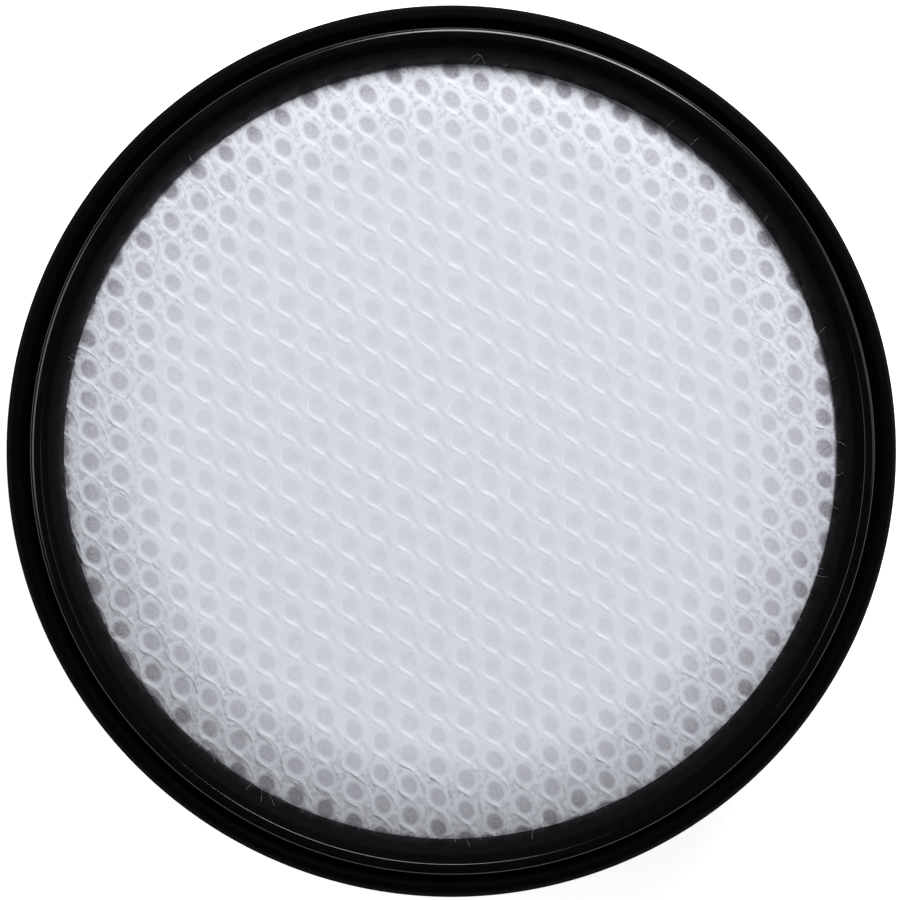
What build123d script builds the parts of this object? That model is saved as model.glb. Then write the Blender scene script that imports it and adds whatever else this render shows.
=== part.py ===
from build123d import *
import os

# Round cartridge filter of a stick vacuum cleaner, in millimetres, about the Z axis.
# It stands on its outlet side, with the knitted mesh facing up and the foot at Z = 0.

# Frame: a moulded tub wall that steps in to a rim, which turns inward and down as a funnel
outer_diameter = 93.0
height = 25.0
wall_thickness = 1.6
ledge_width = 1.1
ledge_drop = 2.6
lip_width = 1.3
lip_chamfer = 0.35
funnel_reach = 2.5
funnel_depth = 3.6
throat_land = 0.4

# Sealing ring: rubber bead on the ledge, wider than the wall below it
seal_overhang = 1.2
seal_height = 2.0
seal_outer_chamfer = 0.8
seal_inner_chamfer = 0.6

# Mesh cover: knitted spacer fabric, squeezed under the funnel and domed inside it
mesh_rim_thickness = 1.4
dome_rise = 2.4
dome_roll_width = 7.3
dome_roll_steps = 3

# Knit: honeycomb eyes in staggered rows
eye_pitch = 5.68
eye_row_pitch = 5.07
eye_row_stagger = 2.84
eye_row_turn = 6.6
eye_width = 3.6
eye_depth = 1.2
eye_sides = 6

# Pleated media: one sheet of filter paper folded to and fro
pleat_pitch = 4.0
media_thickness = 0.6
fold_inside = 0.4

# Support grid: a moulded grille set into a rebate in the foot, with bars across the pleats
grid_thickness = 2.0
grid_rebate = 0.6
grid_rim_width = 3.0
grid_bar_width = 1.5
grid_bar_count = 7
grid_spine_width = 2.4

# Clearances
soft_clearance = 0.1
grid_clearance = 0.1

# Places that several pieces share
seal_radius = outer_diameter / 2
wall_radius = seal_radius - seal_overhang
rim_radius = wall_radius - ledge_width
bore_radius = wall_radius - wall_thickness
mouth_radius = rim_radius - lip_width
throat_radius = mouth_radius - funnel_reach
rebate_radius = bore_radius + grid_rebate
ledge_z = height - ledge_drop
shoulder_z = height - funnel_depth - throat_land
soft_radius = bore_radius - soft_clearance
dome_radius = throat_radius - soft_clearance
dome_flat_radius = dome_radius - dome_roll_width
dome_top = shoulder_z + dome_rise
mesh_bottom = shoulder_z - mesh_rim_thickness
pleat_bottom = grid_thickness
pleat_top = mesh_bottom


def spun(outline):
    """Solid of revolution about Z of a closed outline drawn in radius and height."""
    return revolve(Plane.XZ * make_face(outline), Axis.Z)


def frame():
    """Tub wall with the seal's ledge, the lip, the funnel, its clamping shoulder and the grid's rebate."""
    return spun(
        Polyline(
            (rebate_radius, 0),
            (wall_radius, 0),
            (wall_radius, ledge_z),
            (rim_radius, ledge_z),
            (rim_radius, height - lip_chamfer),
            (rim_radius - lip_chamfer, height),
            (mouth_radius + lip_chamfer, height),
            (mouth_radius, height - lip_chamfer),
            (throat_radius, height - funnel_depth),
            (throat_radius, shoulder_z),
            (bore_radius, shoulder_z),
            (bore_radius, grid_thickness),
            (rebate_radius, grid_thickness),
            close=True,
        )
    )


def sealing_ring():
    """Rubber bead round the rim, with a crevice between its crown and the lip."""
    seal_top = ledge_z + seal_height
    return spun(
        Polyline(
            (rim_radius, ledge_z),
            (seal_radius, ledge_z),
            (seal_radius, seal_top - seal_outer_chamfer),
            (seal_radius - seal_outer_chamfer, seal_top),
            (rim_radius + seal_inner_chamfer, seal_top),
            (rim_radius, seal_top - seal_inner_chamfer),
            close=True,
        )
    )


def knit_eyes():
    """Tapered blind eyes of the knit in staggered rows over the flat of the dome."""
    limit = dome_flat_radius - eye_width / 2
    mouth = RegularPolygon(eye_width, eye_sides).face()
    eye = loft([Pos(0, 0, eye_depth) * mouth, Vertex(0, 0, -eye_depth)])
    reach = int(2 * limit / eye_row_pitch) + 1
    eyes = []
    for row in range(-reach, reach + 1):
        for column in range(-2 * reach, 2 * reach + 1):
            spot = Vector(column * eye_pitch + row * eye_row_stagger, row * eye_row_pitch)
            if spot.length < limit:
                eyes.append(Rot(0, 0, eye_row_turn) * Pos(spot.X, spot.Y, dome_top) * eye)
    return eyes


def dome_roll():
    """Points of the dome's edge, which falls ever more steeply from the flat to the funnel."""
    shares = [step / dome_roll_steps for step in range(dome_roll_steps + 1)]
    return [(dome_flat_radius + dome_roll_width * share, dome_top - dome_rise * share**2) for share in shares]


def mesh_cover():
    """Domed knitted layer with a flat rim under the funnel's shoulder and a flat back on the pleats."""
    outline = Polyline(
        (0, dome_top),
        *dome_roll(),
        (soft_radius, shoulder_z),
        (soft_radius, mesh_bottom),
        (0, mesh_bottom),
        close=True,
    )
    return spun(outline) - knit_eyes()


def pleated_media():
    """Zigzag sheet with flat folds, trimmed to the round of the frame."""
    fold_outside = fold_inside + 2 * media_thickness
    count = int(2 * soft_radius / pleat_pitch)
    start = -count * pleat_pitch / 2
    lower = []
    upper = []
    for fold in range(2 * count + 1):
        x = start + fold * pleat_pitch / 2
        if fold % 2:
            lower_z, upper_z = pleat_top - media_thickness, pleat_top
            lower_half, upper_half = fold_inside / 2, fold_outside / 2
        else:
            lower_z, upper_z = pleat_bottom, pleat_bottom + media_thickness
            lower_half, upper_half = fold_outside / 2, fold_inside / 2
        lower += [(x - lower_half, lower_z), (x + lower_half, lower_z)]
        upper += [(x - upper_half, upper_z), (x + upper_half, upper_z)]
    section = Plane.XZ * make_face(Polyline(*lower, *reversed(upper), close=True))
    sheet = extrude(section, amount=soft_radius, both=True)
    bore = extrude(Circle(soft_radius), amount=pleat_top)
    return sheet & bore


def support_grid():
    """Rim, spine and bars in one flat moulding, flush with the foot."""
    grid_radius = rebate_radius - grid_clearance
    inside_radius = grid_radius - grid_rim_width
    gap = (2 * inside_radius - grid_bar_count * grid_bar_width) / (grid_bar_count + 1)
    bar_pitch = gap + grid_bar_width
    bar = Rectangle(2 * grid_radius, grid_bar_width)
    bars = Rectangle(grid_spine_width, 2 * grid_radius)
    for step in range(grid_bar_count):
        bars += Pos(0, (step - (grid_bar_count - 1) / 2) * bar_pitch) * bar
    rim = Circle(grid_radius) - Circle(inside_radius)
    return extrude(rim + (bars & Circle(inside_radius)), amount=grid_thickness)


pieces = {
    "frame": frame,
    "sealing_ring": sealing_ring,
    "mesh_cover": mesh_cover,
    "pleated_media": pleated_media,
    "support_grid": support_grid,
}

os.makedirs("parts", exist_ok=True)
for name, make in pieces.items():
    export_step(make(), os.path.join("parts", name + ".step"))
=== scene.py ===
import math

import bmesh
import bpy
import numpy as np
from bpy.props import (
    FloatProperty, FloatVectorProperty, IntProperty, PointerProperty,
)
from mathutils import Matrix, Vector


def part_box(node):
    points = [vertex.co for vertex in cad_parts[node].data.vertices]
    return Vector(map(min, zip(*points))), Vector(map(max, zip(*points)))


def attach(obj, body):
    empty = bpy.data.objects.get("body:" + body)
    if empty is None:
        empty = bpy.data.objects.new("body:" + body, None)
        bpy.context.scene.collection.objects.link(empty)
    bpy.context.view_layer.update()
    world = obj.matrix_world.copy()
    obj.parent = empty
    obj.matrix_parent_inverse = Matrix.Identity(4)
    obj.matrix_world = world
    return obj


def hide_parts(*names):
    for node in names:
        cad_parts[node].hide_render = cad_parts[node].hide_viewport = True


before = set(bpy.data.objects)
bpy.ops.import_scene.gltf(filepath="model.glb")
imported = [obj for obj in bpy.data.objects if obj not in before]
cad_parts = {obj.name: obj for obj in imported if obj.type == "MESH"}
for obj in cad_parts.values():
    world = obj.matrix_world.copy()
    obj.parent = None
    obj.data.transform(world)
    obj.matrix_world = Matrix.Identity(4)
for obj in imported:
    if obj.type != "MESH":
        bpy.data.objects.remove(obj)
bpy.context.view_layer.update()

bl_info = {
    "name": "Round Cartridge Filter",
    "version": (1, 0, 0),
    "blender": (4, 5, 0),
    "location": "3D View > Sidebar > Filter",
    "description": "Dresses the packed filter: frame, seal, knitted mesh, pleats and grille",
    "category": "Object",
}

MM = 0.001

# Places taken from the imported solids, in millimetres
WALL_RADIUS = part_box("frame")[1].x / MM
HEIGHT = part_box("frame")[1].z / MM
SEAL_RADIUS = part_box("sealing_ring")[1].x / MM
LEDGE_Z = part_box("sealing_ring")[0].z / MM
SEAL_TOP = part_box("sealing_ring")[1].z / MM
KNIT_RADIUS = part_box("mesh_cover")[1].x / MM
KNIT_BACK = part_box("mesh_cover")[0].z / MM
KNIT_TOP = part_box("mesh_cover")[1].z / MM
GRILLE_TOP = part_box("support_grid")[1].z / MM

# The frame's section, in millimetres, as the solid has it
LEDGE_WIDTH = 1.1
LIP_WIDTH = 1.3
FUNNEL_REACH = 2.5
FUNNEL_DEPTH = 3.6
THROAT_LAND = 0.4
WALL_THICKNESS = 1.6
GRILLE_REBATE = 0.6
SOFT_CLEARANCE = 0.1
RIM_RADIUS = WALL_RADIUS - LEDGE_WIDTH
MOUTH_RADIUS = RIM_RADIUS - LIP_WIDTH
THROAT_RADIUS = MOUTH_RADIUS - FUNNEL_REACH
BORE_RADIUS = WALL_RADIUS - WALL_THICKNESS
REBATE_RADIUS = BORE_RADIUS + GRILLE_REBATE
SHOULDER_Z = HEIGHT - FUNNEL_DEPTH - THROAT_LAND

# Where the lip turns into the funnel, and where the funnel ends, in millimetres
FUNNEL_START = MOUTH_RADIUS + 0.14
FUNNEL_END = THROAT_RADIUS + 0.08

# The dome's roll, and the radii between which the knit opens, in millimetres
DOME_RADIUS = THROAT_RADIUS - SOFT_CLEARANCE
DOME_ROLL = 9.3
DOME_POWER = 2.2
DOME_FLAT = DOME_RADIUS - DOME_ROLL
EDGE_LIFT = 0.25
DOME_RISE = KNIT_TOP - SHOULDER_Z - EDGE_LIFT
OPENING = (27.5, 37.0)

# Painted highlights (the strands) and painted shade (the gaps) of the knit's repeat: their centres along the
# wale and beside it from an eye's centre, half widths and half lengths in millimetres, their turn from the
# wale in degrees, and their levels
PAINTED_HIGHLIGHT_STRANDS = (
    ((-0.50, -1.18), 0.26, 1.00, 0.0, 0.32),
    ((0.75, -0.88), 0.26, 1.00, 22.0, 0.50),
    ((1.22, -0.69), 0.22, 0.60, 27.0, 0.85),
    ((2.15, -0.36), 0.26, 1.00, 0.0, 0.38),
    ((2.30, 0.56), 0.26, 1.00, 0.0, 0.36),
)
# Painted shade: the slit where the yarn dives under and the dot, with levels where pressed and where opened
PAINTED_SHADE_GAPS = (
    ((1.95, 0.08), 0.20, 1.00, 0.0, (0.10, 0.27)),
    ((-1.82, 0.10), 0.20, 0.26, 0.0, (0.03, 0.40)),
)

# Dust on the plastic and the rubber, as a linear colour
PLASTIC_DUST = (0.05, 0.048, 0.05)
RUBBER_DUST = (0.03, 0.028, 0.03)

# Heights, as shares of the way up, between which the room turns from white to dim
HORIZON = (0.05, 0.09)
LAMP_AIM = Vector((0.0, 0.0, 20.0 * MM))


def length(name, description, default):
    """A length a user may change, in metres."""
    return FloatProperty(name=name, description=description, default=default * MM,
                         min=0.0, precision=5, unit="LENGTH")


def colour(name, description, default):
    """A linear colour a user may change."""
    return FloatVectorProperty(name=name, description=description, default=default,
                               size=3, min=0.0, max=1.0, subtype="COLOR")


def share(name, description, default):
    """A value from 0 to 1 a user may change."""
    return FloatProperty(name=name, description=description, default=default,
                         min=0.0, max=1.0, subtype="FACTOR")


def angle(name, description, default):
    """An angle a user may change. The default is in degrees."""
    return FloatProperty(name=name, description=description, default=math.radians(default), subtype="ANGLE")


def power(name, description, default):
    """A lamp's power a user may change, in watts."""
    return FloatProperty(name=name, description=description, default=default, min=0.0, unit="POWER")


def number(name, description, default, least=0):
    """A count a user may change."""
    return IntProperty(name=name, description=description, default=default, min=least)


def coordinates(name, description, *default):
    """Coordinates a user may change, in metres."""
    return FloatVectorProperty(name=name, description=description, size=len(default), unit="LENGTH",
                               precision=5, default=[value * MM for value in default])


class FrameSettings(bpy.types.PropertyGroup):
    """Moulded frame"""
    segments: number("Segments", "Facets round the frame", 300, 48)
    lip_outer_round: length("Lip outer rounding", "Radius of the lip's outer edge", 1.10)
    lip_inner_round: length("Lip inner rounding", "Radius of the lip's edge at the mouth", 0.13)
    funnel_steep: angle("Funnel foot slope", "Slope of the funnel at its throat", 70.0)
    funnel_flat: angle("Funnel mouth slope", "Slope of the funnel at its mouth", 37.0)
    plastic: colour("Plastic", "Colour of the moulded plastic", (0.0013, 0.0012, 0.0013))
    # The funnel's colour is lighter than the lip's plastic: a painted glow that lifts the shaded groove
    # below the lip
    funnel_painted_glow_plastic: colour("Funnel plastic", "Colour of the satin funnel", (0.0032, 0.0028, 0.0030))
    roughness: share("Roughness", "Mean roughness of the lip and the funnel", 0.15)
    wall_roughness: share("Wall roughness", "Mean roughness of the wall", 0.30)
    lip_gloss: share("Lip gloss", "Gloss of the lip", 0.6)
    funnel_gloss: share("Funnel gloss", "Gloss of the satin funnel", 0.05)
    wall_gloss: share("Wall gloss", "Gloss of the wall", 0.16)


class SealSettings(bpy.types.PropertyGroup):
    """Rubber sealing ring"""
    segments: number("Segments", "Facets round the seal", 300, 48)
    crown_inset: length("Crown inset", "Distance of the crown from the seal's edge", 1.15)
    rubber: colour("Rubber", "Colour of the rubber", (0.0009, 0.0008, 0.0009))
    matte_roughness: share("Roughness", "Mean roughness of the rubber", 0.72)


class KnitSettings(bpy.types.PropertyGroup):
    """Knitted mesh"""
    first_eye: coordinates("First eye", "Centre of one eye", 0.80, -2.05)
    step_across: coordinates("Step across", "From one eye to the next, across", 2.984, -1.310)
    step_down: coordinates("Step down", "From one eye to the next, down", 0.067, -3.222)
    eye_half_width: length("Eye half width", "Half of an eye's width", 0.86)
    eye_half_length: length("Eye half length", "Half of an eye's length", 1.13)
    centre_depth: length("Centre depth", "Depth of the eyes where the knit is pressed flat", 0.20)
    edge_depth: length("Edge depth", "Depth of the eyes on the dome's edge", 0.25)
    flat_width: length("Pressed yarn width", "Width of the rim yarns where they are pressed flat", 0.58)
    yarn_width: length("Yarn width", "Width of the rim yarns on the dome's edge", 0.40)
    yarn_height: length("Yarn height", "Height of the rim yarns", 0.24)
    link_width: length("Link width", "Width of the yarn between the rims", 0.22)
    link_height: length("Link height", "Height of the yarn between the rims", 0.18)
    fibres: number("Fibres", "Loose filaments along the yarns", 1400)
    fringe: number("Fringe", "Short fibre ends round the knit's edge", 260)
    strays: number("Strays", "Fibre ends over the funnel", 45)
    loop: coordinates("Loop", "Foot, top and foot of the loose yarn loop",
                      1.45, 40.15, 2.58, 41.36, 3.51, 40.15)
    seed: number("Seed", "Seed of the irregularities", 11)
    white: colour("Knit", "Colour of the polyester", (0.772, 0.797, 0.866))
    shade: colour("Knit shade", "Colour of its duller fibres", (0.742, 0.764, 0.832))
    # Whiter rim yarns, and the colour that the painted highlights in the knit blend to
    bright: colour("Yarn", "Colour of the rim yarns", (0.905, 0.932, 1.0))
    # The eyes' back layer, and the colour that all painted shade in the knit blends to
    floor: colour("Eye floor", "Colour of the layer at the bottom of the eyes", (0.30, 0.288, 0.333))


class PleatSettings(bpy.types.PropertyGroup):
    """Pleated paper"""
    pitch: length("Pitch", "Distance between pleats", 4.0)
    thickness: length("Thickness", "Thickness of the paper", 0.6)
    paper: colour("Paper", "Colour of the filter paper", (0.78, 0.775, 0.74))


class GrilleSettings(bpy.types.PropertyGroup):
    """Support grid"""
    edge_round: length("Edge rounding", "Radius of the grille's edges", 0.25)
    roughness: share("Roughness", "Mean roughness of the grille", 0.34)
    gloss: share("Gloss", "Gloss of the grille", 0.4)


class StageSettings(bpy.types.PropertyGroup):
    """Camera, lamps and floor"""
    camera_distance: length("Camera distance", "From the lens to the filter", 1000.0)
    camera_tilt: angle("Camera tilt", "Lean of the view from straight down", 4.0)
    camera_aim: coordinates("Camera aim", "Point that the camera looks at", -0.27, 0.12, 23.0)
    view_width: length("View width", "Width of the picture at the seal", 93.88)
    key_power: power("Key power", "Power of the key lamp", 3.82)
    key_azimuth: angle("Key azimuth", "Direction of the key lamp", 72.0)
    key_elevation: angle("Key elevation", "Height of the key lamp", 48.0)
    key_distance: length("Key distance", "From the key lamp to the filter", 650.0)
    key_size: length("Key size", "Side of the key lamp", 320.0)
    left_fill_power: power("Left fill power", "Power of the left fill lamp", 2.0)
    left_fill_azimuth: angle("Left fill azimuth", "Direction of the left fill lamp", 168.0)
    left_fill_elevation: angle("Left fill elevation", "Height of the left fill lamp", 55.0)
    right_fill_power: power("Right fill power", "Power of the right fill lamp", 0.75)
    right_fill_azimuth: angle("Right fill azimuth", "Direction of the right fill lamp", 12.0)
    right_fill_elevation: angle("Right fill elevation", "Height of the right fill lamp", 30.5)
    fill_distance: length("Fill distance", "From a fill lamp to the filter", 986.0)
    fill_size: length("Fill size", "Side of a fill lamp", 450.0)
    room: share("Room light", "Brightness of the room above the filter", 0.03)
    floor: colour("Floor", "Colour of the floor", (0.80, 0.80, 0.80))
    glow: share("Floor glow", "Brightness that keeps the floor white to the lens", 0.9)


# Meshes

def add_piece(name, points, faces, material, slot, normals=None, **values):
    """A smooth mesh piece on the part's only body, with values stored on its points, in millimetres."""
    mesh = bpy.data.meshes.new(name)
    mesh.from_pydata((np.asarray(points, float) * MM).tolist(), [], faces)
    mesh.shade_smooth()
    if normals is not None:
        mesh.normals_split_custom_set_from_vertices(normals.tolist())
    for label, numbers in values.items():
        kind, field = ("FLOAT", "value") if numbers.ndim == 1 else ("FLOAT_VECTOR", "vector")
        stored = mesh.attributes.new(label, kind, "POINT")
        stored.data.foreach_set(field, numbers.astype(np.float32).ravel())
    piece = bpy.data.objects.new(name, mesh)
    bpy.context.scene.collection.objects.link(piece)
    mesh.materials.append(material)
    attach(piece, "root")
    return piece


def rounded_outline(corners, steps=7):
    """Closed outline in radius and height, whose corners are given as (radius, height, rounding)."""
    outline = []
    for index, (x, y, rounding) in enumerate(corners):
        here = np.array((x, y))
        back = np.array(corners[index - 1][:2]) - here
        ahead = np.array(corners[(index + 1) % len(corners)][:2]) - here
        back_length, ahead_length = np.hypot(*back), np.hypot(*ahead)
        back, ahead = back / back_length, ahead / ahead_length
        half = math.acos(max(-1.0, min(1.0, float(back @ ahead)))) / 2
        if rounding <= 0 or half > math.radians(88):
            outline.append(tuple(here))
            continue
        cut = min(rounding / math.tan(half), 0.48 * back_length, 0.48 * ahead_length)
        radius = cut * math.tan(half)
        middle = (back + ahead) / np.hypot(*(back + ahead))
        centre = here + middle * radius / math.sin(half)
        start, end = here + back * cut - centre, here + ahead * cut - centre
        turn = math.atan2(start[0] * end[1] - start[1] * end[0], float(start @ end))
        for step in range(steps + 1):
            angle = turn * step / steps
            spot = centre + np.array((start[0] * math.cos(angle) - start[1] * math.sin(angle),
                                      start[0] * math.sin(angle) + start[1] * math.cos(angle)))
            outline.append(tuple(spot))
    return outline


def turned(name, outline, segments, material, slot):
    """A ring turned from a closed outline about the Z axis."""
    outline = np.array(outline)
    angles = np.arange(segments) * 2 * math.pi / segments
    points = np.stack([
        np.outer(np.cos(angles), outline[:, 0]),
        np.outer(np.sin(angles), outline[:, 0]),
        np.outer(np.ones(segments), outline[:, 1]),
    ], axis=-1).reshape(-1, 3)
    count = len(outline)
    ring, spot = np.meshgrid(np.arange(segments), np.arange(count), indexing="ij")
    after_ring, after_spot = (ring + 1) % segments, (spot + 1) % count
    faces = np.stack([ring * count + spot, after_ring * count + spot,
                      after_ring * count + after_spot, ring * count + after_spot], axis=-1)
    piece = add_piece(name, points, faces.reshape(-1, 4).tolist(), material, slot)
    piece.data.set_sharp_from_angle(angle=math.radians(38))
    return piece


def tubes(paths, half_width, half_height, sides, rng=None):
    """Closed tubes along paths that lie about level: points, faces, outward directions, runs, crests."""
    points, faces, outs, runs, crests, base = [], [], [], [], [], 0
    turns = (np.arange(sides) + 0.5) * 2 * math.pi / sides
    for path in paths:
        along = np.gradient(path, axis=0)
        along /= np.linalg.norm(along, axis=1)[:, None]
        side = np.cross(along, (0.0, 0.0, 1.0))
        side /= np.maximum(np.linalg.norm(side, axis=1), 1e-9)[:, None]
        up = np.cross(side, along)
        round_side = np.cos(turns)[None, :, None] * side[:, None, :]
        round_up = np.sin(turns)[None, :, None] * up[:, None, :]
        count = len(path)
        swell = np.ones((count, 1, 1)) if rng is None else 1.0 + 0.14 * wander(rng, count)[:, None, None]
        half = half_width(path)[:, None, None] if callable(half_width) else half_width
        ring = path[:, None, :] + swell * (half * round_side + half_height * round_up)
        points.append(ring.reshape(-1, 3))
        outs.append((round_side + round_up).reshape(-1, 3))
        runs.append(np.repeat(along, sides, axis=0))
        bare = 1.0 if rng is None else np.clip(0.70 + 0.45 * slow_wander(rng, count), 0.0, 1.0)[:, None]
        crests.append((bare * np.clip(2 * np.sin(turns) - 1, 0.0, 1.0) * np.ones((count, 1))).ravel())
        row, spot = np.meshgrid(np.arange(count - 1), np.arange(sides), indexing="ij")
        after = (spot + 1) % sides
        quads = np.stack([row * sides + spot, (row + 1) * sides + spot,
                          (row + 1) * sides + after, row * sides + after], axis=-1)
        faces += (quads.reshape(-1, 4) + base).tolist()
        faces.append((np.arange(sides) + base).tolist())
        faces.append((np.arange(sides)[::-1] + base + (count - 1) * sides).tolist())
        base += count * sides
    return (np.concatenate(points), faces, np.concatenate(outs), np.concatenate(runs),
            np.concatenate(crests))


def wander(rng, count):
    """A smooth random run of values about 0."""
    rough = rng.normal(0.0, 1.0, count + 4)
    return 0.55 * (rough[:-4] + 2 * rough[1:-3] + 3 * rough[2:-2] + 2 * rough[3:-1] + rough[4:]) / 4.36


def slow_wander(rng, count, stride=6):
    """A slow random run of values about 0, with one free value every few places."""
    free = rng.normal(0.0, 1.0, count // stride + 3)
    return np.interp(np.arange(count) / stride, np.arange(len(free)), free)


def smooth_step(low, high, value):
    """0 below low and 1 above high, with a smooth rise between."""
    part = np.clip((value - low) / (high - low), 0.0, 1.0)
    return part * part * (3.0 - 2.0 * part)


# Materials

def shader(name, **values):
    """A material with one Principled shader, whose sockets take the named values."""
    material = bpy.data.materials.new(name)
    material.use_nodes = True
    surface = material.node_tree.nodes["Principled BSDF"]
    for socket, value in values.items():
        surface.inputs[socket.replace("_", " ")].default_value = value
    return material, material.node_tree, surface


def noise(tree, scale, detail=2.0, roughness=0.5, stretch=None):
    """Noise over the piece's own coordinates. The scale counts grains in a metre."""
    place = tree.nodes.new("ShaderNodeTexCoord")
    grain = tree.nodes.new("ShaderNodeTexNoise")
    grain.inputs["Scale"].default_value = scale
    grain.inputs["Detail"].default_value = detail
    grain.inputs["Roughness"].default_value = roughness
    if stretch is None:
        tree.links.new(place.outputs["Object"], grain.inputs["Vector"])
    else:
        mapping = tree.nodes.new("ShaderNodeMapping")
        mapping.inputs["Rotation"].default_value = stretch[0]
        mapping.inputs["Scale"].default_value = stretch[1]
        tree.links.new(place.outputs["Object"], mapping.inputs["Vector"])
        tree.links.new(mapping.outputs["Vector"], grain.inputs["Vector"])
    return grain.outputs["Fac"]


def ramp(tree, value, stops):
    """Colour stops over a value."""
    node = tree.nodes.new("ShaderNodeValToRGB")
    while len(node.color_ramp.elements) < len(stops):
        node.color_ramp.elements.new(0.5)
    for element, (place, tone) in zip(node.color_ramp.elements, stops):
        element.position = place
        element.color = (*tone, 1.0)
    tree.links.new(value, node.inputs["Fac"])
    return node.outputs["Color"]


def spread(tree, value, low, high):
    """A noise value stretched to run from low to high."""
    node = tree.nodes.new("ShaderNodeMapRange")
    node.inputs["From Min"].default_value = 0.3
    node.inputs["From Max"].default_value = 0.7
    node.inputs["To Min"].default_value = low
    node.inputs["To Max"].default_value = high
    tree.links.new(value, node.inputs["Value"])
    return node.outputs["Result"]


def bump(tree, surface, value, depth, strength=1.0):
    """Relief of a given depth in metres, laid over the relief that the shader has already."""
    node = tree.nodes.new("ShaderNodeBump")
    node.inputs["Strength"].default_value = strength
    node.inputs["Distance"].default_value = depth
    tree.links.new(value, node.inputs["Height"])
    if surface.inputs["Normal"].is_linked:
        tree.links.new(surface.inputs["Normal"].links[0].from_socket, node.inputs["Normal"])
    tree.links.new(node.outputs["Normal"], surface.inputs["Normal"])


def dust(tree, surface, plain, cell, size, tone):
    """Sparse pale specks over a plain colour."""
    place = tree.nodes.new("ShaderNodeTexCoord")
    cells = tree.nodes.new("ShaderNodeTexVoronoi")
    cells.inputs["Scale"].default_value = 1.0 / cell
    tree.links.new(place.outputs["Object"], cells.inputs["Vector"])
    specks = ramp(tree, cells.outputs["Distance"], [(0.0, tone), (size / cell, plain)])
    tree.links.new(specks, surface.inputs["Base Color"])


def moulded_plastic(name, tone, roughness, gloss):
    """Black moulded plastic: even gloss with faint waviness, wipe marks and dust."""
    material, tree, surface = shader(name, IOR=1.46, Specular_IOR_Level=gloss)
    wiped = noise(tree, 210.0, 4.0, 0.6)
    tree.links.new(spread(tree, wiped, roughness - 0.04, roughness + 0.05), surface.inputs["Roughness"])
    dust(tree, surface, tuple(tone), 0.0042, 0.00006, PLASTIC_DUST)
    bump(tree, surface, noise(tree, 260.0, 2.0), 0.00002, 0.5)
    bump(tree, surface, noise(tree, 9000.0, 2.0), 0.000004, 0.5)
    return material


def seal_rubber(settings):
    """Matte black rubber with a fine grain and dust in it."""
    material, tree, surface = shader("matte_black_rubber", IOR=1.4, Specular_IOR_Level=0.05)
    grain = noise(tree, 5200.0, 3.0, 0.6)
    rough = settings.matte_roughness
    tree.links.new(spread(tree, grain, rough - 0.07, rough + 0.08), surface.inputs["Roughness"])
    dust(tree, surface, tuple(settings.rubber), 0.0031, 0.00007, RUBBER_DUST)
    bump(tree, surface, grain, 0.00002, 0.6)
    bump(tree, surface, noise(tree, 420.0, 3.0), 0.00004, 0.5)
    return material


def attribute(tree, name):
    """A value stored on the mesh."""
    node = tree.nodes.new("ShaderNodeAttribute")
    node.attribute_name = name
    return node


def filaments(tree, surface, settings, strength):
    """Fine relief drawn out along the wales."""
    turn = math.atan2(settings.step_across[1] + settings.step_down[1],
                      settings.step_across[0] + settings.step_down[0])
    drawn = noise(tree, 2600.0, 3.0, 0.6, ((0.0, 0.0, -turn), (1.0, 5.0, 3.0)))
    bump(tree, surface, drawn, 0.00005, strength)


def blend(tree, factor, first, second):
    """A colour that turns into a fixed second colour with the factor."""
    node = tree.nodes.new("ShaderNodeMix")
    node.data_type = "RGBA"
    tree.links.new(factor, node.inputs["Factor"])
    tree.links.new(first, node.inputs[6])
    node.inputs[7].default_value = (*second, 1.0)
    return node.outputs[2]


def plain_polyester(tree, settings):
    """Slightly uneven white of the polyester."""
    patchy = noise(tree, 520.0, 3.0, 0.55)
    return ramp(tree, patchy, [(0.32, tuple(settings.shade)), (0.62, tuple(settings.white))])


def math_node(tree, operation, *sources):
    """A computed value. The sources are sockets or numbers."""
    node = tree.nodes.new("ShaderNodeMath")
    node.operation = operation
    for index, source in enumerate(sources):
        if isinstance(source, (int, float)):
            node.inputs[index].default_value = source
        else:
            tree.links.new(source, node.inputs[index])
    return node.outputs[0]


def product(tree, first, *others):
    """All the values multiplied together."""
    for other in others:
        first = math_node(tree, "MULTIPLY", first, other)
    return first


def largest(tree, first, *others):
    """The largest of the values."""
    for other in others:
        first = math_node(tree, "MAXIMUM", first, other)
    return first


def vector_node(tree, operation, source, fixed=None):
    """A computed vector or product. The second source is a fixed vector."""
    node = tree.nodes.new("ShaderNodeVectorMath")
    node.operation = operation
    tree.links.new(source, node.inputs[0])
    if fixed is not None:
        node.inputs[1].default_value = fixed
    return node.outputs["Value"] if operation == "DOT_PRODUCT" else node.outputs["Vector"]


def knit_mark(tree, place, plan, centre, half_width, half_length, turn):
    """Distance to the nearest of the marks that lie by each eye: 1 on its outline."""
    turn = math.radians(turn)
    ways = (math.cos(turn) * plan.beside - math.sin(turn) * plan.along,
            math.cos(turn) * plan.along + math.sin(turn) * plan.beside)
    rows = [(float(plan.across @ way / size), float(plan.down @ way / size), 0.0)
            for way, size in zip(ways, (half_width, half_length))]
    shift = plan.inverse @ (centre[0] * plan.along + centre[1] * plan.beside)
    cell = vector_node(tree, "FRACTION", vector_node(tree, "SUBTRACT", place, (*shift, 0.0)))
    nearest = None
    for corner in ((0.0, 0.0, 0.0), (1.0, 0.0, 0.0), (0.0, 1.0, 0.0), (1.0, 1.0, 0.0)):
        away = vector_node(tree, "SUBTRACT", cell, corner)
        parts = [math_node(tree, "ABSOLUTE", vector_node(tree, "DOT_PRODUCT", away, row)) for row in rows]
        squares = [math_node(tree, "POWER", part, 2.0) for part in parts]
        reach = math_node(tree, "SQRT", math_node(tree, "ADD", *squares))
        nearest = reach if nearest is None else math_node(tree, "MINIMUM", nearest, reach)
    return nearest


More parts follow.
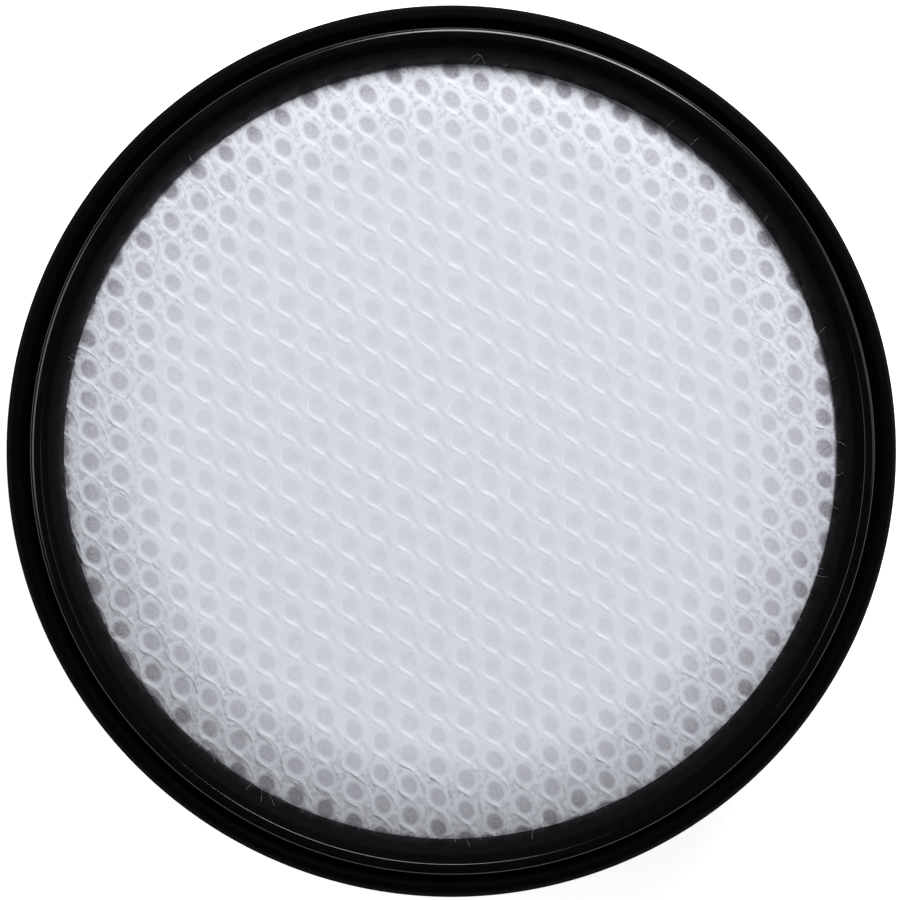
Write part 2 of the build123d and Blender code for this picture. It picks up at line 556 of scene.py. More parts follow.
def fade(tree, value, start, end, low=1.0, high=0.0):
    """A smooth change from low to high. The start and end are sockets or numbers."""
    node = tree.nodes.new("ShaderNodeMapRange")
    node.interpolation_type = "SMOOTHSTEP"
    for socket, source in (("From Min", start), ("From Max", end), ("To Min", low), ("To Max", high)):
        if isinstance(source, (int, float)):
            node.inputs[socket].default_value = source
        else:
            tree.links.new(source, node.inputs[socket])
    tree.links.new(value, node.inputs["Value"])
    return node.outputs["Result"]


def knit_tones(tree, plan):
    """The knit's radius and opening, the distance from its eyes, and where painted shade darkens it and
    painted highlights lighten it.
    """
    place = attribute(tree, "knit_place").outputs["Vector"]
    parts = tree.nodes.new("ShaderNodeSeparateXYZ")
    tree.links.new(place, parts.inputs[0])
    radius = parts.outputs["Z"]
    opened = fade(tree, radius, *OPENING, 0.0, 1.0)
    eye = knit_mark(tree, place, plan, (0.0, 0.0), plan.half_width, plan.half_length, 0.0)
    eye = math_node(tree, "ADD", eye, spread(tree, noise(tree, 2400.0, 3.0, 0.6), -0.06, 0.06))
    painted_shade, painted_highlight = [], []
    for *mark, (pressed, open_level) in PAINTED_SHADE_GAPS:
        level = fade(tree, opened, 0.0, 1.0, pressed, open_level)
        painted_shade.append(product(tree, fade(tree, knit_mark(tree, place, plan, *mark), 0.2, 1.3), level))
    for *mark, level in PAINTED_HIGHLIGHT_STRANDS:
        painted_highlight.append(fade(tree, knit_mark(tree, place, plan, *mark), 0.15, 1.15, level, 0.0))
    return radius, opened, eye, largest(tree, *painted_shade), largest(tree, *painted_highlight)


def knit_ground_polyester(settings, plan):
    """White polyester of the fabric's body, greyer on the eyes' floors, partly for their back layer and
    partly as painted shade, with painted shade in the gaps between yarns and under the funnel.
    """
    material, tree, surface = shader("white_polyester_ground", Roughness=0.8, Specular_IOR_Level=0.2)
    radius, opened, eye, painted_shade, painted_highlight = knit_tones(tree, plan)
    # Painted shade on the eyes' floors, stronger where the eyes deepen towards the dome's edge
    floor_inside = fade(tree, radius, 12.0, 36.0, 0.45, 0.66)
    floor_outside = fade(tree, radius, 12.0, 36.0, 1.24, 1.14)
    floor = fade(tree, eye, floor_inside, floor_outside)
    depth = math_node(tree, "ADD", fade(tree, radius, 10.0, 30.0, 0.11, 0.15),
                      math_node(tree, "ADD", fade(tree, radius, 26.0, DOME_RADIUS, 0.0, 0.42),
                                fade(tree, radius, DOME_RADIUS - 3.0, DOME_RADIUS, 0.0, 0.36)))
    fuzzy = spread(tree, noise(tree, 3600.0, 3.0, 0.65), 0.7, 1.3)
    tone = product(tree, floor, depth, fuzzy)
    # Painted shade: dark spots between the eyes on the dome's edge, and towards the edge under the funnel
    between = product(tree, fade(tree, eye, 1.22, 1.5, 0.0, 1.0), fade(tree, opened, 0.3, 1.0, 0.0, 0.36))
    shade_under_funnel = fade(tree, radius, DOME_RADIUS - 1.3, DOME_RADIUS, 0.0, 0.6)
    gap_shade = product(tree, largest(tree, between, shade_under_funnel),
                    fade(tree, noise(tree, 1700.0, 1.0, 0.5), 0.42, 0.62, 0.0, 1.0))
    # Painted highlights along the strand marks whiten the body
    body = blend(tree, painted_highlight, plain_polyester(tree, settings), settings.bright)
    # All the painted shade blends the body to the eye-floor colour
    low = largest(tree, tone, painted_shade, gap_shade)
    tree.links.new(blend(tree, low, body, settings.floor), surface.inputs["Base Color"])
    filaments(tree, surface, settings, 0.4)
    return material


def knit_yarn_polyester(settings, plan):
    """White polyester yarn, whose filaments draw a highlight out across its crest, with painted highlights
    and painted shade in its colour.
    """
    material, tree, surface = shader("white_polyester_yarn", Roughness=0.5, IOR=1.7, Anisotropic=0.9,
                                     Anisotropic_Rotation=0.25)
    painted_shade, painted_highlight = knit_tones(tree, plan)[3:]
    # Painted highlight along the yarns' crests, and whiter yarns on the dome's edge
    white = largest(tree, painted_highlight, attribute(tree, "whiteness").outputs["Fac"])
    body = blend(tree, white, plain_polyester(tree, settings), settings.bright)
    # Painted shade as dark spots on the flanks of opened yarns
    gap_shade = product(tree, attribute(tree, "gap").outputs["Fac"],
                    fade(tree, noise(tree, 1700.0, 1.0, 0.5), 0.42, 0.66, 0.0, 0.5))
    low = largest(tree, painted_shade, gap_shade)
    tree.links.new(blend(tree, low, body, settings.floor), surface.inputs["Base Color"])
    tree.links.new(attribute(tree, "crest").outputs["Fac"], surface.inputs["Specular IOR Level"])
    tree.links.new(attribute(tree, "yarn_run").outputs["Vector"], surface.inputs["Tangent"])
    filaments(tree, surface, settings, 0.35)
    return material


def filter_paper(settings):
    """Off-white filter paper with a felted grain."""
    material, tree, surface = shader("felted_filter_paper", Roughness=0.95, Specular_IOR_Level=0.15)
    felt = noise(tree, 900.0, 5.0, 0.7)
    tone = tuple(settings.paper)
    duller = tuple(part * 0.88 for part in tone)
    tree.links.new(ramp(tree, felt, [(0.3, duller), (0.66, tone)]), surface.inputs["Base Color"])
    bump(tree, surface, noise(tree, 3800.0, 4.0, 0.7), 0.00008, 0.8)
    return material


# The knit's plan

class KnitPlan:
    """Where the eyes, the wales and the dome of the knit lie, in millimetres."""

    # Each rim yarn's distance from its column's axis, and its swing round an eye
    LOWER_RIM = (0.54, 0.70)
    UPPER_RIM = (0.35, 0.85)
    DRIFT = 0.035
    GROUND_DROP = 0.05

    def __init__(self, settings):
        self.across = np.array(settings.step_across) / MM
        self.down = np.array(settings.step_down) / MM
        self.inverse = np.linalg.inv(np.stack([self.across, self.down], axis=1))
        self.first = np.array(settings.first_eye) / MM
        wale = self.across + self.down
        self.period = float(np.hypot(*wale))
        self.along = wale / self.period
        self.beside = np.array((-self.along[1], self.along[0]))
        self.column = float(self.across @ self.beside)
        self.column_shift = float(self.across @ self.along)
        self.half_width = settings.eye_half_width / MM
        self.half_length = settings.eye_half_length / MM
        self.centre_depth = settings.centre_depth / MM
        self.edge_depth = settings.edge_depth / MM
        self.flat_half = settings.flat_width / MM / 2
        self.yarn = (settings.yarn_width / MM / 2, settings.yarn_height / MM / 2)
        self.link = (settings.link_width / MM / 2, settings.link_height / MM / 2)
        rng = np.random.default_rng(settings.seed)
        self.waves = [(rng.uniform(0.25, 0.9), rng.uniform(0, 2 * math.pi), rng.uniform(0, 2 * math.pi),
                       rng.uniform(0, 2 * math.pi)) for _ in range(9)]

    def drift(self, spots):
        """Slow irregular shift of the knit over the dome."""
        shift = np.zeros_like(spots)
        for rate, turn, first, second in self.waves:
            phase = rate * (spots[:, 0] * math.cos(turn) + spots[:, 1] * math.sin(turn))
            shift[:, 0] += np.sin(phase + first)
            shift[:, 1] += np.sin(phase + second)
        return self.DRIFT * shift

    def openness(self, radius):
        """0 where the knit is pressed flat and 1 on the dome's edge, where it opens."""
        return smooth_step(*OPENING, radius)

    def dome(self, radius):
        """Height of the dome, which runs on down under the funnel's shoulder."""
        roll = np.clip((radius - DOME_FLAT) / DOME_ROLL, 0.0, 1.0)
        under = np.clip(radius - DOME_RADIUS, 0.0, 0.45)
        tuck = (EDGE_LIFT + 0.1) * smooth_step(DOME_RADIUS - 0.15, DOME_RADIUS + 0.18, radius)
        return KNIT_TOP - DOME_RISE * (roll ** DOME_POWER + DOME_POWER / DOME_ROLL * under) - tuck

    def lattice(self, spots):
        """Place of each spot in steps of the knit, with whole numbers at the eyes' centres."""
        return (spots - self.drift(spots) - self.first) @ self.inverse.T

    def eye_depth(self, place):
        """Share of the nearest eye's depth at each place: 0 on the wall and 1 on its floor."""
        steps = np.stack([self.across, self.down], axis=1)
        near = np.round(place).astype(int)
        deep = np.zeros(len(place))
        for i in (-1, 0, 1):
            for j in (-1, 0, 1):
                offset = (place - near - (i, j)) @ steps.T
                reach = np.hypot(offset @ self.beside / self.half_width,
                                 offset @ self.along / self.half_length)
                deep = np.maximum(deep, 1.0 - smooth_step(0.60, 1.25, reach))
        return deep

    def ground(self, spots):
        """Height of the fabric's body, its places in the knit and its radii."""
        radius = np.hypot(spots[:, 0], spots[:, 1])
        opened = self.openness(radius)
        depth = self.centre_depth + (self.edge_depth - self.centre_depth) * opened
        inside = 1.0 - smooth_step(DOME_RADIUS - 0.1, DOME_RADIUS + 0.3, radius)
        place = self.lattice(spots)
        height = self.dome(radius) - self.GROUND_DROP - depth * self.eye_depth(place) * inside
        return height, place, radius

    def dome_out(self, points):
        """Outward direction of the smooth dome under each point."""
        radius = np.maximum(np.hypot(points[:, 0], points[:, 1]), 1e-6)
        roll = np.clip((radius - DOME_FLAT) / DOME_ROLL, 0.0, 1.0)
        slope = DOME_POWER * DOME_RISE / DOME_ROLL * roll ** (DOME_POWER - 1)
        lean = slope / radius
        out = np.column_stack([points[:, 0] * lean, points[:, 1] * lean, np.ones(len(points))])
        return out / np.linalg.norm(out, axis=1)[:, None]

    def soften(self, points, outs, centre, edge):
        """Directions drawn towards the dome's own, as light spreads through the fibres."""
        opened = self.openness(np.hypot(points[:, 0], points[:, 1]))[:, None]
        part = centre + (edge - centre) * opened
        mixed = (1 - part) * outs + part * self.dome_out(points)
        return mixed / np.linalg.norm(mixed, axis=1)[:, None]

    def yarn_half(self, path):
        """Half width of a rim yarn along its path."""
        opened = self.openness(np.hypot(path[:, 0], path[:, 1]))
        return self.flat_half + (self.yarn[0] - self.flat_half) * opened

    def rim(self, place, near, swing):
        """Distance of a rim yarn from its column's axis, along one repeat from an eye's centre."""
        place = (place + self.period / 2) % self.period - self.period / 2
        beside = near + swing * np.exp(-(place / 1.25) ** 2)
        slit = 0.07 * np.exp(-((place - 0.36 * self.period) / 0.30) ** 2)
        dot = 0.05 * np.exp(-((place + 0.36 * self.period) / 0.20) ** 2)
        return beside + slit + dot

    def along_eye(self, spots):
        """Place of each spot along the wale of the eyes on its right, from an eye's centre."""
        offset = spots - self.drift(spots) - self.first
        column = np.ceil(offset @ self.beside / self.column)
        place = offset @ self.along - column * self.column_shift
        return (place + self.period / 2) % self.period - self.period / 2

    def bare(self, place):
        """How far the yarn on an eye's lower rim comes to the surface, along one repeat."""
        return smooth_step(-0.4, 0.7, place) * (1 - smooth_step(1.4, 2.0, place))

    def yarns(self, kind, step, start=0.0):
        """Paths of one kind of yarn of all wales, outside a given radius."""
        rng = np.random.default_rng(7)
        reach = 43.0
        columns = int(reach / self.column) + 2
        run = np.arange(-reach - 3, reach + 3, step)
        first_along = float(self.first @ self.along)
        first_beside = float(self.first @ self.beside)
        paths = []
        for column in range(-columns, columns):
            left = first_beside + column * self.column
            phase = run - first_along - column * self.column_shift
            lower_rim = left + self.rim(phase, *self.LOWER_RIM)
            upper_rim = left + self.column - self.rim(phase - self.column_shift, *self.UPPER_RIM)
            turn = 2 * math.pi * 6 * phase / self.period + 0.6 * math.sin(column * 2.4)
            if kind == "lower":
                beside, pressed, lift, half = lower_rim, -0.05, 0.02 * np.cos(turn), self.yarn[1]
            elif kind == "upper":
                place = (phase - self.column_shift + self.period / 2) % self.period - self.period / 2
                pressed = 0.015 - 0.07 * (1 - self.bare(place))
                beside, lift, half = upper_rim, -0.02 * np.cos(turn), self.yarn[1]
            else:
                beside = (lower_rim + upper_rim) / 2 + (upper_rim - lower_rim) / 2 * np.cos(turn)
                pressed, lift, half = -0.03, 0.04 * np.sin(turn * 0.5), self.link[1]
            beside = beside + 0.03 * slow_wander(rng, len(run), max(2, int(0.7 / step)))
            lift = lift + 0.02 * slow_wander(rng, len(run), max(2, int(1.0 / step)))
            spots = run[:, None] * self.along + beside[:, None] * self.beside
            spots = spots + self.drift(spots)
            radius = np.hypot(spots[:, 0], spots[:, 1])
            opened = self.openness(radius)
            sunk = -0.02 if kind == "upper" else 0.03
            height = (self.dome(radius) - half + pressed * (1 - 0.5 * opened) - sunk * opened
                      + lift * (0.2 + 0.8 * opened))
            inside = (radius < DOME_RADIUS + 0.75) & (radius > start)
            breaks = np.flatnonzero(np.diff(np.concatenate([[0], inside.astype(int), [0]])))
            for first, last in zip(breaks[::2], breaks[1::2]):
                if last - first >= 6:
                    paths.append(np.column_stack([spots, height])[first:last])
        return paths


# Pieces

def funnel_section(settings):
    """Radii and heights of the funnel from its mouth to its throat."""
    places = np.linspace(FUNNEL_START, FUNNEL_END, 13)
    shares = np.linspace(0.0, 1.0, 12) ** 1.6
    slopes = settings.funnel_flat + (settings.funnel_steep - settings.funnel_flat) * shares
    return places, HEIGHT + np.concatenate([[0.0], np.cumsum(np.diff(places) * np.tan(slopes))])


class FILTER_OT_frame(bpy.types.Operator):
    """Turns the moulded frame with its rounded lip and funnel"""
    bl_idname = "cartridge_filter.frame"
    bl_label = "Frame"

    def execute(self, context):
        settings = context.scene.filter_frame
        outer = settings.lip_outer_round / MM
        inner = settings.lip_inner_round / MM
        places, heights = funnel_section(settings)
        throat = places[-1]
        funnel = [(place, height, 0.9) for place, height in zip(places[1:-1], heights[1:-1])]
        corners = [
            (REBATE_RADIUS, 0.0, 0.12),
            (WALL_RADIUS, 0.0, 0.35),
            (WALL_RADIUS, LEDGE_Z, 0.10),
            (RIM_RADIUS, LEDGE_Z, 0.10),
            (RIM_RADIUS, HEIGHT, outer),
            (FUNNEL_START, HEIGHT, inner),
            *funnel,
            (throat, heights[-1], 0.15),
            (throat, SHOULDER_Z, 0.08),
            (BORE_RADIUS, SHOULDER_Z, 0.0),
            (BORE_RADIUS, GRILLE_TOP, 0.0),
            (REBATE_RADIUS, GRILLE_TOP, 0.0),
        ]
        glossy = moulded_plastic("black_frame_plastic", settings.plastic, settings.roughness,
                                 settings.lip_gloss)
        # The satin funnel also carries the painted glow of its lighter colour
        satin_painted_glow = moulded_plastic("black_funnel_plastic", settings.funnel_painted_glow_plastic, settings.roughness,
                                settings.funnel_gloss)
        etched = moulded_plastic("black_wall_plastic", settings.plastic, settings.wall_roughness,
                                 settings.wall_gloss)
        piece = turned("frame_moulding", rounded_outline(corners), settings.segments, glossy,
                       "black_plastic")
        piece.data.materials.append(satin_painted_glow)
        piece.data.materials.append(etched)
        satin_index, etched_index = 1, 2
        satin_radius = MOUTH_RADIUS + 0.05
        for face in piece.data.polygons:
            middle = face.center / MM
            if middle.z > SHOULDER_Z and middle.xy.length < satin_radius:
                face.material_index = satin_index
            elif middle.z < LEDGE_Z:
                face.material_index = etched_index
        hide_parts("frame")
        return {"FINISHED"}


class FILTER_OT_seal(bpy.types.Operator):
    """Turns the rubber sealing ring with its round crown"""
    bl_idname = "cartridge_filter.seal"
    bl_label = "Sealing ring"

    def execute(self, context):
        settings = context.scene.filter_seal
        crown = SEAL_RADIUS - settings.crown_inset / MM
        corners = [
            (RIM_RADIUS, LEDGE_Z, 0.0),
            (SEAL_RADIUS, LEDGE_Z, 0.15),
            (SEAL_RADIUS, SEAL_TOP - 0.95, 0.5),
            (SEAL_RADIUS - 0.45, SEAL_TOP - 0.30, 0.8),
            (crown + 0.12, SEAL_TOP, 0.5),
            (crown - 0.18, SEAL_TOP, 0.25),
            (RIM_RADIUS + 0.10, SEAL_TOP - 1.15, 0.2),
            (RIM_RADIUS, SEAL_TOP - 1.2, 0.0),
        ]
        piece = turned("seal_bead", rounded_outline(corners), settings.segments, seal_rubber(settings),
                       "black_rubber")
        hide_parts("sealing_ring")
        return {"FINISHED"}


class FILTER_OT_knit(bpy.types.Operator):
    """Makes the domed knit: its ground with the eyes, its yarns and its loose fibres"""
    bl_idname = "cartridge_filter.knit"
    bl_label = "Knitted mesh"

    def execute(self, context):
        settings = context.scene.filter_knit
        plan = KnitPlan(settings)
        yarn = knit_yarn_polyester(settings, plan)
        ground = self.ground(plan, knit_ground_polyester(settings, plan))
        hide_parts("mesh_cover")
        rng = np.random.default_rng(settings.seed + 2)
        lower, upper = plan.yarns("lower", 0.26), plan.yarns("upper", 0.26)
        links = plan.yarns("link", 0.15, 26.0)
        fibres = self.fibres(plan, settings, lower + upper)
        foot = funnel_section(context.scene.filter_frame)
        strays = self.stray_fibres(plan, settings.seed + 3, settings.strays, (0.6, 1.9), foot)
        strays += self.stray_fibres(plan, settings.seed + 4, settings.fringe, (0.3, 0.9), foot)
        strays.append(self.yarn_loop(plan, settings, foot))
        rim_half = (plan.yarn_half, plan.yarn[1])
        filament_half, stray_half = (0.030, 0.010), (0.008, 0.008)
        yarns = [
            self.yarn(plan, yarn, "knit_lower_rims", tubes(lower, *rim_half, 6, rng), (0.85, 0.86)),
            self.yarn(plan, yarn, "knit_upper_rims", tubes(upper, *rim_half, 6, rng), (0.80, 0.82), True),
            self.yarn(plan, yarn, "knit_links", tubes(links, *plan.link, 6, rng), (0.85, 0.85)),
            self.yarn(plan, yarn, "knit_fibres", tubes(fibres, *filament_half, 3), (0.85, 0.85)),
            self.yarn(plan, yarn, "knit_stray_fibres", tubes(strays, *stray_half, 4), (0.85, 0.85)),
        ]
        return {"FINISHED"}

    def yarn(self, plan, material, name, tube, softness, shows_pressed=False):
        """One kind of yarn, with painted shade on the flanks of opened yarns. One that shows in the pressed
        knit too gets a painted highlight and gloss along its bare stretches.
        """
        points, faces, outs, runs, crest = tube
        normals = plan.soften(points, outs, *softness)
        radius = np.hypot(points[:, 0], points[:, 1])
        opened = plan.openness(radius)
        # Painted shade on the flanks of opened yarns, away from their crests
        gap = opened * (1 - np.minimum(1.0, 1.6 * crest))
        whiteness = 0.0
        if shows_pressed:
            gap = 0.4 * gap
            covered = 0.15 * opened
            crest = crest * (covered + (1 - covered) * plan.bare(plan.along_eye(points[:, :2])))
            # Painted highlight along the crests of the bare stretches
            whiteness = 0.35 * crest * (1 - opened)
        else:
            crest = crest * opened
        # Whiter yarns on the dome's edge, with more painted highlight along their crests
        whiteness = whiteness + (0.1 + 0.35 * crest) * opened
        place = np.column_stack([plan.lattice(points[:, :2]), radius])
        return add_piece(name, points, faces, material, "white_knit", normals, yarn_run=runs, crest=crest,
                         whiteness=whiteness, gap=gap, knit_place=place)

    def ground(self, plan, material):
        """The fabric's body: a fine disc with the eyes pressed in, a plain rim and a flat back."""
        fine_from, tucked_from = 25.0, DOME_RADIUS + 0.4
        reach = np.concatenate([np.linspace(0.0, fine_from, 63),
                                np.linspace(fine_from, tucked_from, 85)[1:],
                                np.linspace(tucked_from, KNIT_RADIUS, 5)[1:]])
        rings = len(reach) - 1
        line = np.arange(-rings, rings + 1)
        across, up = np.meshgrid(line, line, indexing="ij")
        wide = np.abs(across) >= np.abs(up)
        safe_across = np.where(across == 0, 1, across)
        safe_up = np.where(up == 0, 1, up)
        angle = np.where(wide, math.pi / 4 * up / safe_across, math.pi / 2 - math.pi / 4 * across / safe_up)
        signed = np.where(wide, across, up)
        radius = np.sign(signed) * reach[np.abs(signed)]
        spots = np.stack([radius * np.cos(angle), radius * np.sin(angle)], axis=-1).reshape(-1, 2)
        height, place, away = plan.ground(spots)
        points = np.column_stack([spots, height])
        top_count = len(points)
        size = 2 * rings + 1
        row, spot = np.meshgrid(np.arange(size - 1), np.arange(size - 1), indexing="ij")
        corner = row * size + spot
        quads = np.stack([corner, corner + size, corner + size + 1, corner + 1], axis=-1)
        faces = quads.reshape(-1, 4).tolist()
        last = size - 1
        loop = ([i * size for i in range(last)] + [last * size + i for i in range(last)]
                + [i * size + last for i in range(last, 0, -1)] + list(range(last, 0, -1)))
        count = len(loop)
        back = np.column_stack([points[loop, :2], np.full(count, KNIT_BACK)])
        points = np.concatenate([points, back])
        for index in range(count):
            after = (index + 1) % count
            faces.append([loop[after], loop[index], top_count + index, top_count + after])
        faces.append([top_count + index for index in range(count)][::-1])
        piece = add_piece("knit_ground", points, faces, material, "white_knit")
        mesh = bmesh.new()
        mesh.from_mesh(piece.data)
        bmesh.ops.recalc_face_normals(mesh, faces=mesh.faces)
        mesh.to_mesh(piece.data)
        mesh.free()
        data = piece.data
        places = np.zeros((len(points), 3), np.float32)
        places[:top_count, :2] = place
        places[:top_count, 2] = away
        stored = data.attributes.new("knit_place", "FLOAT_VECTOR", "POINT")
        stored.data.foreach_set("vector", places.ravel())
        outs = np.zeros(len(points) * 3, np.float32)
        data.vertex_normals.foreach_get("vector", outs)
        outs = outs.reshape(-1, 3).astype(float)
        inner = np.arange(len(points)) < top_count
        inner &= np.hypot(points[:, 0], points[:, 1]) < DOME_RADIUS + 0.5
        outs[inner] = plan.soften(points[inner], outs[inner], 0.85, 0.8)
        data.set_sharp_from_angle(angle=math.radians(70))
        data.normals_split_custom_set_from_vertices(outs.tolist())
        return piece

    def fibres(self, plan, settings, yarns):
        """Fine filaments that have come loose along the yarns, most of them on the dome's edge."""
        rng = np.random.default_rng(settings.seed + 1)
        count = 8
        run = np.linspace(-1.0, 1.0, count)
        paths = []
        while len(paths) < settings.fibres:
            yarn = yarns[rng.integers(len(yarns))]
            first = rng.integers(len(yarn))
            part = yarn[first:first + count]
            keep, sway, lean, bow, lift = rng.uniform(), *rng.normal(0.0, 1.0, 3), rng.uniform(0.0, 0.02)
            if len(part) < count:
                continue
            radius = math.hypot(*part[count // 2, :2])
            if radius > DOME_RADIUS - 0.6 or keep > float(plan.openness(np.array(radius))):
                continue
            way = part[-1, :2] - part[0, :2]
            side = np.array((-way[1], way[0])) / np.hypot(*way)
            beside = 0.12 * sway + 0.14 * lean * run + 0.10 * bow * run ** 2
            spots = part[:, :2] + beside[:, None] * side
            rise = plan.yarn[1] * np.sqrt(np.maximum(0.0, 1.0 - (beside / (1.3 * plan.yarn[0])) ** 2)) + lift
            paths.append(np.column_stack([spots, part[:, 2] + rise]))
        return paths

    def over_funnel(self, plan, flat, foot):
        """A path that rises from the knit over the funnel's foot."""
        away = np.hypot(flat[:, 0], flat[:, 1])
        on_funnel = np.interp(away, foot[0][::-1], foot[1][::-1])
        rise = smooth_step(DOME_RADIUS - 0.4, THROAT_RADIUS + 0.2, away)
        height = plan.dome(np.minimum(away, DOME_RADIUS - 0.15)) * (1 - rise) + on_funnel * rise
        return np.column_stack([flat, height + 0.05])

    def stray_fibres(self, plan, seed, count, sizes, foot):
        """Fibre ends that lie out over the funnel's foot."""
        rng = np.random.default_rng(seed)
        run = np.linspace(0.0, 1.0, 9)
        paths = []
        for _ in range(count):
            turn, lean, bend = rng.uniform(0, 2 * math.pi), rng.normal(0.0, 0.8), rng.normal(0.0, 0.5)
            size = rng.uniform(*sizes)
            start = (DOME_RADIUS - 0.35) * np.array((math.cos(turn), math.sin(turn)))
            way = turn + lean + bend * run
            steps = size / 8 * np.column_stack([np.cos(way), np.sin(way)])
            paths.append(self.over_funnel(plan, start + np.cumsum(steps, axis=0) - steps[0], foot))
        return paths

    def yarn_loop(self, plan, settings, foot):
        """One loose loop of yarn that arches out over the funnel's foot."""
        run = np.linspace(0.0, 1.0, 17)
        arch = np.array(settings.loop).reshape(3, 2) / MM
        middle = 2 * arch[1] - (arch[0] + arch[2]) / 2
        pulls = ((1 - run) ** 2, 2 * run * (1 - run), run ** 2)
        flat = sum(np.outer(pull, spot) for pull, spot in zip(pulls, (arch[0], middle, arch[2])))
        return self.over_funnel(plan, flat, foot)


class FILTER_OT_pleats(bpy.types.Operator):
    """Folds the filter paper to and fro inside the frame"""
    bl_idname = "cartridge_filter.pleats"
    bl_label = "Pleated paper"

    def execute(self, context):
        settings = context.scene.filter_pleats
        thickness = settings.thickness / MM
        way = self.fold_line(settings.pitch / MM, thickness)
        chord_half = np.sqrt(np.maximum(KNIT_RADIUS ** 2 - (np.abs(way[:, 0]) + thickness) ** 2, 0.01))
        points, faces = self.paper(way, chord_half, thickness)
        piece = add_piece("pleat_pack", points, faces, filter_paper(settings), "filter_paper")
        piece.data.set_sharp_from_angle(angle=math.radians(50))
        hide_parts("pleated_media")
        return {"FINISHED"}

    def fold_line(self, pitch, thickness):
        """Middle line of the sheet across the pleats, with round folds from the grille to the knit."""
        bend, steps, edge_gap = 0.5, 8, 0.8
        count = int(2 * KNIT_RADIUS / pitch)
        way = []
        for fold in range(2 * count + 1):
            x = -count * pitch / 2 + fold * pitch / 2
            raised = fold % 2 == 1
            centre = KNIT_BACK - thickness / 2 - bend if raised else GRILLE_TOP + thickness / 2 + bend
            sign = 1 if raised else -1
            for step in range(steps + 1):
                turn = math.pi * (1 - step / steps)
                way.append((x + bend * math.cos(turn), centre + sign * bend * math.sin(turn)))
        way = np.array(way)
        return way[np.abs(way[:, 0]) < KNIT_RADIUS - edge_gap]

    def paper(self, way, chord_half, thickness):
        """Points and faces of the sheet along its fold line, as wide as the round leaves room for."""
        along = np.gradient(way, axis=0)
        along /= np.linalg.norm(along, axis=1)[:, None]
        out = np.column_stack([-along[:, 1], along[:, 0]])
        rows = 25
        part = np.linspace(-1.0, 1.0, rows)
        layers = []
        for side in (1, -1):
            spot = way + side * out * thickness / 2
            spot[:, 1] = np.clip(spot[:, 1], GRILLE_TOP, KNIT_BACK)
            y = chord_half[:, None] * part[None, :]
            waver = 0.10 * np.sin(0.31 * y + 1.7 * np.sin(way[:, 0])[:, None]) * (1 - part[None, :] ** 8)
            x = spot[:, 0][:, None] + waver
            z = np.repeat(spot[:, 1][:, None], rows, axis=1)
            layers.append(np.stack([x, y, z], axis=-1).reshape(-1, 3))
        shift = len(way) * rows
        upper = np.arange(shift).reshape(-1, rows)
        quads = np.stack([upper[:-1, :-1], upper[1:, :-1], upper[1:, 1:], upper[:-1, 1:]], axis=-1)
        quads = quads.reshape(-1, 4)
        loop = np.concatenate([upper[:-1, 0], upper[-1, :-1], upper[:0:-1, -1], upper[0, :0:-1]])
        after = np.roll(loop, -1)
        edge = np.stack([after, loop, loop + shift, after + shift], axis=-1)
        faces = np.concatenate([quads, quads[:, ::-1] + shift, edge]).tolist()
        return np.concatenate(layers), faces


class FILTER_OT_grille(bpy.types.Operator):
    """Rounds the edges of the support grid"""
    bl_idname = "cartridge_filter.grille"
    bl_label = "Support grid"

    def execute(self, context):
        settings = context.scene.filter_grille
        mesh = bmesh.new()
        mesh.from_mesh(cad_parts["support_grid"].data)
        bmesh.ops.remove_doubles(mesh, verts=mesh.verts, dist=0.001 * MM)
        bmesh.ops.dissolve_limit(mesh, angle_limit=math.radians(1), verts=mesh.verts, edges=mesh.edges)
        data = bpy.data.meshes.new("grille")
        mesh.to_mesh(data)
        mesh.free()
        piece = bpy.data.objects.new("grille", data)
        context.scene.collection.objects.link(piece)
        data.materials.clear()
        data.materials.append(moulded_plastic("black_grille_plastic", context.scene.filter_frame.plastic,
                                              settings.roughness, settings.gloss))
        sharp = math.radians(40)
        rounding = piece.modifiers.new("rounded_edges", "BEVEL")
        rounding.width = settings.edge_round
        rounding.segments = 3
        rounding.limit_method = "ANGLE"
        rounding.angle_limit = sharp
        data.shade_smooth()
        data.set_sharp_from_angle(angle=sharp)
        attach(piece, "root")
        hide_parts("support_grid")
        return {"FINISHED"}


